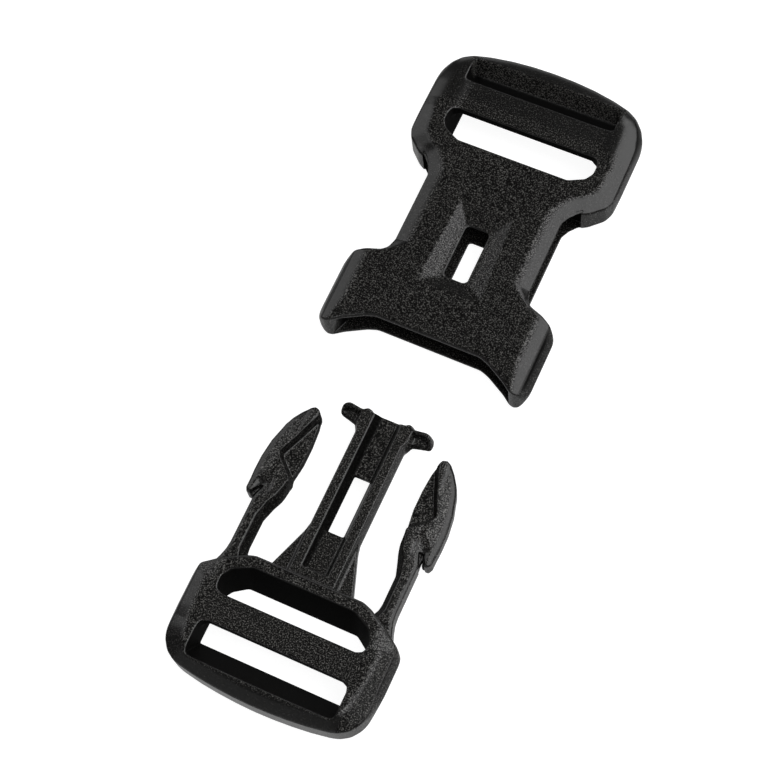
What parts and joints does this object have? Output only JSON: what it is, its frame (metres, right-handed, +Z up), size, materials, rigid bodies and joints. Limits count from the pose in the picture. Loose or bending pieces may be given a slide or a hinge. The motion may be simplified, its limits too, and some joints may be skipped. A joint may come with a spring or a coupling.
{
  "type": "side release buckle",
  "caption": "Moulded side release buckle for webbing: a socket with a crossbar frame, and a plug with a centre guide and sprung barbed side arms.",
  "frame": {"origin": "on the surface that both halves lie on, at the middle of the overall length and width", "axes": "+Z up from the surface; +Y along the webbing, from the plug towards the socket's far end; +X across the webbing"},
  "size_m": [0.0398, 0.1248, 0.0076],
  "materials": {
    "socket_plastic": "black acetal with a fine spark eroded grain",
    "plug_plastic": "black acetal with a fine spark eroded grain"
  },
  "bodies": {
    "socket": {"socket": "socket_plastic"},
    "plug": {"plug": "plug_plastic"},
    "left_arm": {"left_arm": "plug_plastic"},
    "right_arm": {"right_arm": "plug_plastic"}
  },
  "joints": [
    {"name": "plug_slide", "type": "slide", "parent": "socket", "child": "plug", "axis": [0, 1, 0], "range_m": [0, 0.046], "deforming": ["left_arm", "right_arm"]},
    {"name": "right_arm_squeeze", "type": "hinge", "parent": "plug", "child": "right_arm", "pos_m": [0.01365, -0.04166, 0.0038], "axis": [0, 0, 1], "range_deg": [0, 8], "stiffness_Nm_per_rad": 1},
    {"name": "left_arm_squeeze", "type": "hinge", "parent": "plug", "child": "left_arm", "pos_m": [-0.01365, -0.04166, 0.0038], "axis": [0, 0, -1], "range_deg": [0, 8], "stiffness_Nm_per_rad": 1}
  ]
}
